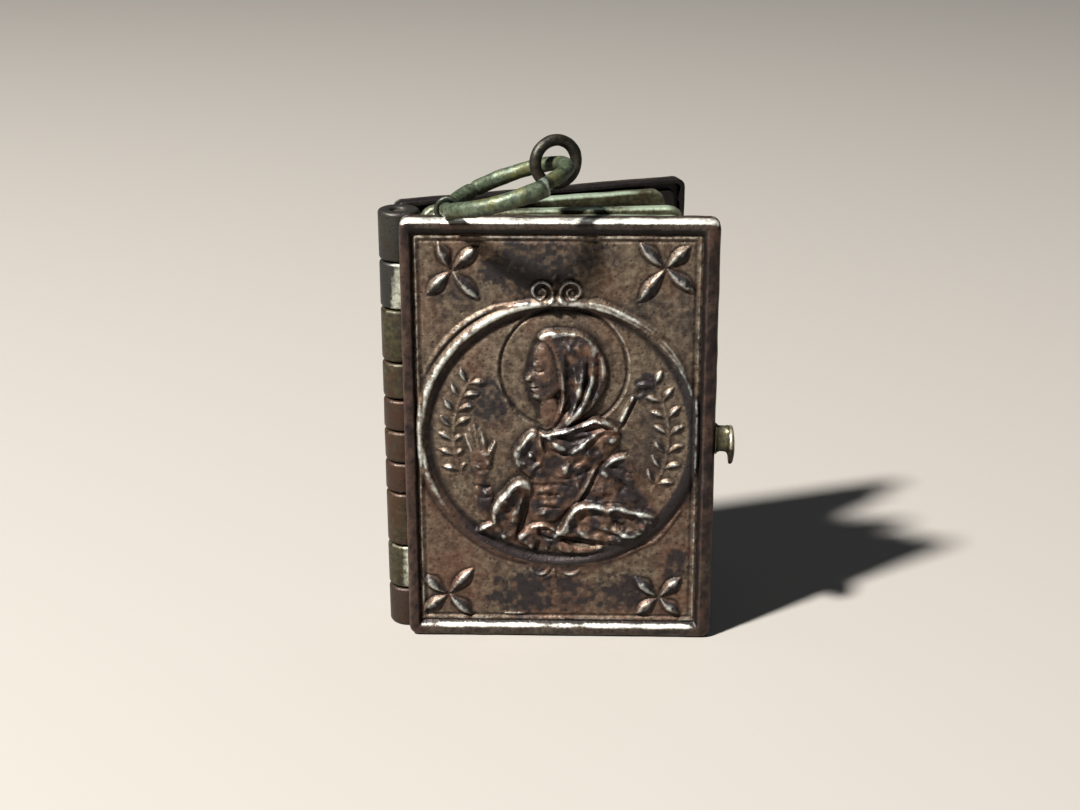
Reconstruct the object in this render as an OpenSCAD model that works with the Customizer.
// Book-shaped pendant that opens on a pin hinge and holds thin leaves.
// It stands on its bottom edges, front cover to the viewer, slightly open.
// Book coordinates: X from the spine edge of the front cover, Y back from
// its front face, Z up from the bottom edges. All sizes are millimetres.

/* [Covers] */
// Height of both covers
cover_h = 26; // [24:0.5:28]
// Width of both covers, spine edge to fore-edge
cover_w = 18.3; // [17:0.1:20]
// Depth of each stamped cover
cover_t = 1.2; // [1.1:0.05:1.5]
// Rounding of the covers' outer edges
edge_r = 0.35; // [0.2:0.05:0.45]
// Rounding of the covers' corners
corner_r = 0.55; // [0.45:0.05:0.9]
// How far the back cover stands open
open_deg = 20.5; // [5:0.5:40]

/* [Leaves] */
// Thickness of a leaf
leaf_t = 0.8; // [0.7:0.05:0.85]
// Free length of a leaf, from the hinge axis
leaf_reach = 16.45; // [15:0.05:17]
// How much lower a leaf ends than the covers, at top and bottom
leaf_inset = 0.2; // [0.15:0.05:0.6]
// How far each leaf stands from its closed place at rest
leaf_deg = [1, 6, 18]; // [0:0.5:20]

/* [Hinge] */
// Outer radius of the spine barrel
barrel_r = 1.1; // [1:0.05:1.2]
// Radius of the hinge pin
pin_r = 0.4; // [0.3:0.05:0.5]

/* [Rings] */
// Centreline radius of the large ring
bail_r = 3.62; // [3.4:0.02:3.8]
// Wire radius of the large ring
bail_wire_r = 0.39; // [0.3:0.01:0.4]
// Centreline radius of the small ring
jump_r = 1.25; // [1.2:0.01:1.4]
// Wire radius of the small ring
jump_wire_r = 0.28; // [0.2:0.01:0.3]

/* [Relief] */
// Spacing of the relief grid
grid = 0.315; // [0.3:0.005:0.6]

/* [Hidden] */
$fn = 48;
nudge = 0.05;

// Gaps between leaves and covers, and between turning pieces
leaf_gap = 0.07;
knuckle_gap = 0.08;
pin_gap = 0.05;

// Spine: the covers start a little off the hinge axis, so that they lie flat when open
spine_x = 0.1;
closed_t = 2 * cover_t + 3 * leaf_t + 4 * leaf_gap;
axis_y = closed_t / 2;
pin_inset = 0.15;

// Straps join the knuckles to the covers: how far they reach, how deep they bite, and
// how near they come to the plane of the axis
strap_x = 0.95;
strap_bite = 0.3;
strap_off = 0.5;

// Heights at which one knuckle ends and the next begins, from the top down
knuckle_z = [cover_h, 23.05, 20.2, 16.95, 14.65, 12.65, 10.65, 8.7, 5.3, 2.5, 0];
back_knuckles = [0, 9];
front_knuckles = [1, 8];
leaf_knuckles = [[2, 5], [3, 6], [4, 7]];

// Leaves: where the plate starts, its free corners, its rim and the sunk field inside it
leaf_x = barrel_r + 0.15;
leaf_corner_r = 0.9;
leaf_rim_w = 0.9;
leaf_field_d = 0.15;

// Straps of the leaves: the outer two leaves meet the barrel beside the axis, the middle
// one head on
leaf_strap_x = 0.6;
leaf_strap_bite = 0.1;
leaf_strap_off = 1;

// Pocket for the stamped panel in the front cover
pocket_x = [0.58, 17.2];
pocket_z = [0.72, 25.12];
pocket_d = 0.75;
panel_gap = 0.04;
panel_y = 0.33;

// Depth of the plain field on the back
field_d = 0.2;

// Channel round the inner face of a cover
channel_at = 0.28;
channel_w = 0.4;
front_channel_d = 0.2;
back_channel_d = 0.45;

// Soldered eye that holds the large ring, on the top edge of the front cover
eye = [2.86, 0.62, 26.45];
eye_hole_r = 0.56;
eye_r = 0.92;
eye_t = 0.5;

// The large ring lies nearly level, its cut ends at the front right
bail_centre = [6.27, 0.6, 27.67];
bail_tilt_y = -19.8;
bail_tilt_x = 4;
bail_cut_deg = -51;
bail_cut_gap = 6;

// The small ring stands on edge, with the large ring's wire through it
jump_centre = [8.95, 2.4, 28.78];
jump_turn_z = 25;
jump_tilt_x = -3;

// Clasp stud on the fore-edge of the front cover
stud_z = 12.75;
stud_y = 0.6;
stud_off = 0.02;
stud_neck_r = 0.5;
stud_neck_h = 0.6;
stud_neck_x = 0.78;
stud_head_r = 1.15;
stud_head_t = 0.36;
stud_head_drop = 0.38;
stud_shank_r = 0.3;
stud_shank_x = 0.6;
stud_shank_bite = 0.1;

// Place of the origin: the middle of the bounding box, on the floor
low_x = -barrel_r;
high_x = cover_w + stud_neck_x + stud_head_t;
low_y = bail_centre[1] - bail_r * cos(bail_tilt_x) - bail_wire_r;
high_y = axis_y + edge_r + (cover_w - edge_r) * sin(open_deg)
    + (closed_t - axis_y - edge_r) * cos(open_deg);
origin_at = [(low_x + high_x) / 2, (low_y + high_y) / 2, 0];

// The relief: rows of simple forms, with heights in millimetres over the field.
// The highest form wins at each point, and grooves are then cut.

// Medallion: its rim, the thin arc outside it and the groove inside it
medal_at = [8.95, 12.85];
medal_r = 8.02;
rim_half_w = 0.28;
rim_h = 0.2;
arc_out = 0.52;
arc_half_w = 0.22;
arc_h = 0.12;
arc_from_z = 15.85;
groove_in = 0.42;
groove_half_w = 0.3;
groove_d = 0.16;

// Halo: a thin line cut in the field
halo_at = [9.44, 17.06];
halo_r = 3.75;
halo_half_w = 0.2;
halo_d = 0.06;

// Bead that runs round the panel, just inside its pocket
bead_in = 0.3;
bead_in_low = 0.45;
bead_half_w = 0.2;
bead_h = 0.1;

// No groove is cut through a form higher than this
groove_stop = 0.03;

// Domes: [x, z, half length, half width, turn, height]
domes = [
    [10.3, 16.5, 2.85, 1.75, 86, 0.36], // veil
    [8.15, 16.4, 2.2, 1.15, 84, 0.3], // head
    [7.05, 16.35, 0.42, 0.28, 60, 0.2], // brow and nose
    [8.75, 13.6, 0.9, 0.75, 90, 0.26], // neck
    [9.7, 12.35, 3.1, 1.25, -6, 0.34], // cape
    [9.5, 10.6, 2.5, 2.3, 80, 0.24], // body
    [12.5, 10.3, 1.9, 1.2, -60, 0.26], // far arm
    [4.45, 11.2, 0.85, 0.6, 90, 0.2], // raised palm
    [12.2, 7.35, 2.6, 1.15, -8, 0.32], // skirt
    [5.2, 6.75, 0.75, 0.45, 20, 0.28], // gathered cloth at the left
    [7.9, 6.5, 1.6, 0.6, -8, 0.24], // gathered cloth in the middle
    [13.76, 15.67, 0.55, 0.42, 60, 0.16] // head of the staff
];

// Ridges: [x1, z1, x2, z2, half width, height]
ridges = [
    [6.8, 9.9, 5.3, 7.3, 0.85, 0.36], // sleeve
    [7.0, 11.9, 7.9, 10.2, 0.6, 0.3], // upper arm
    [10.1, 8.6, 14.5, 7.9, 0.4, 0.36], // edge of the skirt
    [14.1, 16.6, 10.5, 8.9, 0.2, 0.2], // staff
    [11.7, 11.7, 13.8, 10.9, 0.35, 0.3], // far sleeve
    [4.6, 10.6, 4.7, 9.4, 0.4, 0.16], // wrist
    [4.25, 13.5, 4.4, 11.9, 0.2, 0.18], // fingers and thumb
    [3.85, 13.2, 4.1, 11.8, 0.2, 0.16],
    [4.7, 13.3, 4.6, 11.9, 0.2, 0.18],
    [5.3, 12.6, 4.9, 11.4, 0.2, 0.18],
    [8.5, 12.9, 11.9, 13.5, 0.35, 0.36], // hem of the cape
    [8.4, 12.9, 9.6, 9.0, 0.25, 0.28] // fold down the front
];

// Corner crosses: [x, z] of the middle, with four petals each
crosses = [[3.03, 22.93], [15.2, 23.05], [2.6, 2.75], [15.12, 2.65]];
petal_reach = 1.95;
petal_half_w = 0.36;
petal_h = 0.3;
petals = [for (c = crosses) for (a = [45:90:315])
    [c[0] + petal_reach / 2 * cos(a), c[1] + petal_reach / 2 * sin(a),
        petal_reach / 2, petal_half_w, a, petal_h]];

// Scrolls over and under the medallion: [x, z, radius, half width, height]
scrolls = [[8.15, 21.75, 0.5, 0.22, 0.2], [9.9, 21.75, 0.5, 0.22, 0.2],
    [8.2, 4.35, 0.5, 0.2, 0.12], [9.75, 4.35, 0.5, 0.2, 0.12]];

// Leafy sprigs on both sides of the medallion, each leaf leaning across the circle
sprig_r = 6.35;
sprig_leaves = 7;
sprig_from = [150, 28];
sprig_step = [8.5, -8.5];
sprig_lean = [30, -30];
sprig_leaf = [0.55, 0.24, 0.14];
sprigs = [for (side = [0, 1]) for (k = [0:sprig_leaves - 1])
    let (a = sprig_from[side] + k * sprig_step[side])
    [medal_at[0] + sprig_r * cos(a), medal_at[1] + sprig_r * sin(a),
        sprig_leaf[0], sprig_leaf[1], a + sprig_lean[side], sprig_leaf[2]]];

all_domes = concat(domes, petals, sprigs);

function dome(d, x, z) =
    let (u = (x - d[0]) * cos(d[4]) + (z - d[1]) * sin(d[4]),
        v = (z - d[1]) * cos(d[4]) - (x - d[0]) * sin(d[4]),
        q = pow(u / d[2], 2) + pow(v / d[3], 2))
    q < 1 ? d[5] * sqrt(1 - q) : 0;

function ridge(r, x, z) =
    let (dx = r[2] - r[0], dz = r[3] - r[1],
        k = max(0, min(1, ((x - r[0]) * dx + (z - r[1]) * dz) / (dx * dx + dz * dz))),
        q = norm([x - r[0] - k * dx, z - r[1] - k * dz]) / r[4])
    q < 1 ? r[5] * sqrt(1 - q * q) : 0;

function bump(distance, half_w, h) =
    abs(distance) < half_w ? h * (1 - pow(distance / half_w, 2)) : 0;

function scroll(s, x, z) = bump(norm([x - s[0], z - s[1]]) - s[2], s[3], s[4]);

function bead(x, z) = max(
    bump(x - pocket_x[0] - bead_in, bead_half_w, bead_h),
    bump(pocket_x[1] - bead_in - x, bead_half_w, bead_h),
    bump(z - pocket_z[0] - bead_in_low, bead_half_w, bead_h),
    bump(pocket_z[1] - bead_in - z, bead_half_w, bead_h));

function medal_rim(from_rim, z) = max(
    bump(from_rim, rim_half_w, rim_h),
    z > arc_from_z ? bump(from_rim - arc_out, arc_half_w, arc_h) : 0);

function raised(x, z) = max(
    max([for (d = all_domes) dome(d, x, z)]),
    max([for (r = ridges) ridge(r, x, z)]),
    max([for (s = scrolls) scroll(s, x, z)]),
    medal_rim(norm([x, z] - medal_at) - medal_r, z),
    bead(x, z));

function cut(x, z) =
    bump(norm([x, z] - medal_at) - medal_r + groove_in, groove_half_w, groove_d)
    + bump(norm([x, z] - halo_at) - halo_r, halo_half_w, halo_d);

function height(x, z) = let (up = raised(x, z)) up > groove_stop ? up : up - cut(x, z);

// Shapes

module rounded_profile(w, d, r) {
    // Outline with the two corners on the low-Y side rounded
    union() {
        translate([r, 0]) square([w - 2 * r, d]);
        translate([0, r]) square([w, d - r]);
        for (x = [r, w - r]) translate([x, r]) circle(r);
    }
}

module rounded_plate(w, h, r) {
    union() {
        translate([r, 0]) square([w - 2 * r, h]);
        translate([0, r]) square([w, h - 2 * r]);
        for (x = [r, w - r], z = [r, h - r]) translate([x, z]) circle(r);
    }
}

module side_profile() {
    // The same rounding at the top and bottom edges; X is depth here
    r = edge_r;
    union() {
        translate([r, 0]) square([cover_t - r, cover_h]);
        translate([0, r]) square([cover_t, cover_h - 2 * r]);
        for (z = [r, cover_h - r]) translate([r, z]) circle(r);
    }
}

module upright(depth) {
    // Turns a drawing in X and Z into a plate from Y 0 to its depth
    translate([0, depth, 0]) rotate([90, 0, 0]) linear_extrude(depth) children();
}

module cover_blank() {
    // A stamped cover: its outer edges and corners are rounded
    w = cover_w - spine_x;
    translate([spine_x, 0, 0]) intersection() {
        linear_extrude(cover_h) rounded_profile(w, cover_t, edge_r);
        rotate([90, 0, 90]) linear_extrude(w) side_profile();
        upright(cover_t) rounded_plate(w, cover_h, corner_r);
    }
}

module box(low, high) {
    translate(low) cube(high - low);
}

module channel(depth) {
    // Shallow channel round the inner face of a cover, cut from the face inwards
    a = channel_at;
    b = channel_at + channel_w;
    y = [cover_t - depth, cover_t + nudge];
    difference() {
        box([strap_x + spine_x + a, y[0], a], [cover_w - a, y[1], cover_h - a]);
        box([strap_x + spine_x + b, y[0] - nudge, b], [cover_w - b, y[1] + nudge, cover_h - b]);
    }
}

module knuckle(i) {
    // One knuckle of the barrel, solid: the bore is cut from the whole piece
    low = knuckle_z[i + 1] + (i == len(knuckle_z) - 2 ? 0 : knuckle_gap / 2);
    high = knuckle_z[i] - (i == 0 ? 0 : knuckle_gap / 2);
    translate([0, axis_y, low]) cylinder(r = barrel_r, h = high - low);
}

module strap(i, x0, x1, y0, y1) {
    // Metal that joins a knuckle to its cover or leaf
    low = knuckle_z[i + 1] + (i == len(knuckle_z) - 2 ? corner_r : knuckle_gap / 2);
    high = knuckle_z[i] - (i == 0 ? corner_r : knuckle_gap / 2);
    box([x0, y0, low], [x1, y1, high]);
}

module pin_bore() {
    translate([0, axis_y, -nudge]) cylinder(r = pin_r + pin_gap, h = cover_h + 2 * nudge);
}

module open_by(degrees) {
    translate([0, axis_y, 0]) rotate([0, 0, degrees]) translate([0, -axis_y, 0]) children();
}

module place() {
    translate(-origin_at) children();
}

module disc_at(centre, r, t) {
    // Round plate that faces along Y, with its middle at the centre
    translate([centre[0], centre[1] + t / 2, centre[2]]) rotate([90, 0, 0]) cylinder(r = r, h = t);
}

// Sub-parts

module front_cover() {
    color("dimgray") place() difference() {
        union() {
            cover_blank();
            for (i = front_knuckles) {
                knuckle(i);
                strap(i, spine_x, strap_x, cover_t - strap_bite, axis_y - strap_off);
            }
            disc_at(eye, eye_r, eye_t);
        }
        box([pocket_x[0], -nudge, pocket_z[0]], [pocket_x[1], pocket_d, pocket_z[1]]);
        channel(front_channel_d);
        disc_at(eye, eye_hole_r, 2 * eye_t);
        translate([cover_w - stud_shank_x, stud_y, stud_z]) rotate([0, 90, 0])
            cylinder(r = stud_shank_r + pin_gap, h = stud_shank_x + nudge);
        pin_bore();
    }
}

module front_panel() {
    // Stamped relief plate: one grid of points in front, one flat face behind
    x0 = pocket_x[0] + panel_gap;
    x1 = pocket_x[1] - panel_gap;
    z0 = pocket_z[0] + panel_gap;
    z1 = pocket_z[1] - panel_gap;
    nx = round((x1 - x0) / grid);
    nz = round((z1 - z0) / grid);
    back_y = pocket_d - panel_gap;
    front = [for (j = [0:nz]) for (i = [0:nx])
        let (x = x0 + (x1 - x0) * i / nx, z = z0 + (z1 - z0) * j / nz)
        [x, panel_y - height(x, z), z]];
    rim = concat([for (i = [0:nx - 1]) i], [for (j = [0:nz - 1]) j * (nx + 1) + nx],
        [for (i = [nx:-1:1]) nz * (nx + 1) + i], [for (j = [nz:-1:1]) j * (nx + 1)]);
    back = [for (k = rim) [front[k][0], back_y, front[k][2]]];
    middle = [[(x0 + x1) / 2, back_y, (z0 + z1) / 2]];
    b = len(front);
    m = len(rim);
    field = [for (j = [0:nz - 1]) for (i = [0:nx - 1]) let (k = j * (nx + 1) + i)
        each [[k, k + nx + 1, k + nx + 2], [k, k + nx + 2, k + 1]]];
    sides = [for (i = [0:m - 1]) let (n = (i + 1) % m)
        each [[rim[i], rim[n], b + n], [rim[i], b + n, b + i]]];
    rear = [for (i = [0:m - 1]) [b + i, b + (i + 1) % m, b + m]];
    color("rosybrown") place()
        polyhedron(points = concat(front, back, middle), faces = concat(field, sides, rear));
}

module clasp_stud() {
    // Riveted stud: shank in the cover's edge, oblong neck, round head that hangs low.
    // Turned so, its own Z points out of the fore-edge and its own X points down.
    color("darkkhaki") place() translate([cover_w + stud_off, stud_y, stud_z])
        rotate([0, 90, 0]) union() {
            translate([0, 0, stud_shank_bite - stud_shank_x])
                cylinder(r = stud_shank_r, h = stud_shank_x);
            for (side = [-1, 1]) translate([side * stud_neck_h / 2, 0, 0])
                cylinder(r = stud_neck_r, h = stud_neck_x);
            translate([-stud_neck_h / 2, -stud_neck_r, 0])
                cube([stud_neck_h, 2 * stud_neck_r, stud_neck_x]);
            translate([stud_head_drop, 0, stud_neck_x - stud_off])
                cylinder(r = stud_head_r, h = stud_head_t);
        }
}

module hinge_pin() {
    color("gray") place() translate([0, axis_y, pin_inset])
        cylinder(r = pin_r, h = cover_h - 2 * pin_inset);
}

module bail_ring() {
    color("darkolivegreen") place() translate(bail_centre)
        rotate([bail_tilt_x, bail_tilt_y, 0]) rotate([0, 0, bail_cut_deg + bail_cut_gap / 2])
        rotate_extrude(angle = 360 - bail_cut_gap, $fn = 96)
        translate([bail_r, 0]) circle(bail_wire_r, $fn = 32);
}

module jump_ring() {
    color("saddlebrown") place() translate(jump_centre)
        rotate([0, 0, jump_turn_z]) rotate([90 + jump_tilt_x, 0, 0])
        rotate_extrude($fn = 96) translate([jump_r, 0]) circle(jump_wire_r, $fn = 32);
}

module back_cover() {
    color("darkslategray") place() open_by(open_deg) difference() {
        union() {
            translate([0, closed_t, 0]) mirror([0, 1, 0]) difference() {
                cover_blank();
                box([pocket_x[0], -nudge, pocket_z[0]], [pocket_x[1], field_d, pocket_z[1]]);
                channel(back_channel_d);
            }
            for (i = back_knuckles) {
                knuckle(i);
                strap(i, spine_x, strap_x, axis_y + strap_off, closed_t - cover_t + strap_bite);
            }
        }
        pin_bore();
    }
}

module leaf(k) {
    // A rimmed plate on the inside of the book, counted from the front cover
    y0 = cover_t + leaf_gap + (k - 1) * (leaf_t + leaf_gap);
    y1 = y0 + leaf_t;
    low = leaf_inset + leaf_rim_w;
    high = cover_h - leaf_inset - leaf_rim_w;
    join_x = k == 2 ? barrel_r - leaf_strap_bite : leaf_strap_x;
    join_y = [max(y0, axis_y - leaf_strap_off), min(y1, axis_y + leaf_strap_off)];
    place() open_by(leaf_deg[k - 1]) difference() {
        union() {
            translate([leaf_x, y0, 0]) upright(leaf_t) leaf_outline();
            for (i = leaf_knuckles[k - 1]) {
                knuckle(i);
                strap(i, join_x, leaf_x + nudge, join_y[0], join_y[1]);
            }
        }
        for (y = [[y0 - nudge, y0 + leaf_field_d], [y1 - leaf_field_d, y1 + nudge]])
            box([leaf_x + leaf_rim_w, y[0], low], [leaf_reach - leaf_rim_w, y[1], high]);
        pin_bore();
    }
}

module leaf_outline() {
    // Square at the spine, rounded at the two free corners
    w = leaf_reach - leaf_x;
    h = cover_h - 2 * leaf_inset;
    r = leaf_corner_r;
    translate([0, leaf_inset]) union() {
        square([w - r, h]);
        translate([0, r]) square([w, h - 2 * r]);
        for (z = [r, h - r]) translate([w - r, z]) circle(r);
    }
}

module leaf_1() {
    color("olive") leaf(1);
}

module leaf_2() {
    color("olivedrab") leaf(2);
}

module leaf_3() {
    color("darkseagreen") leaf(3);
}

front_cover();
front_panel();
clasp_stud();
hinge_pin();
bail_ring();
jump_ring();
back_cover();
leaf_1();
leaf_2();
leaf_3();
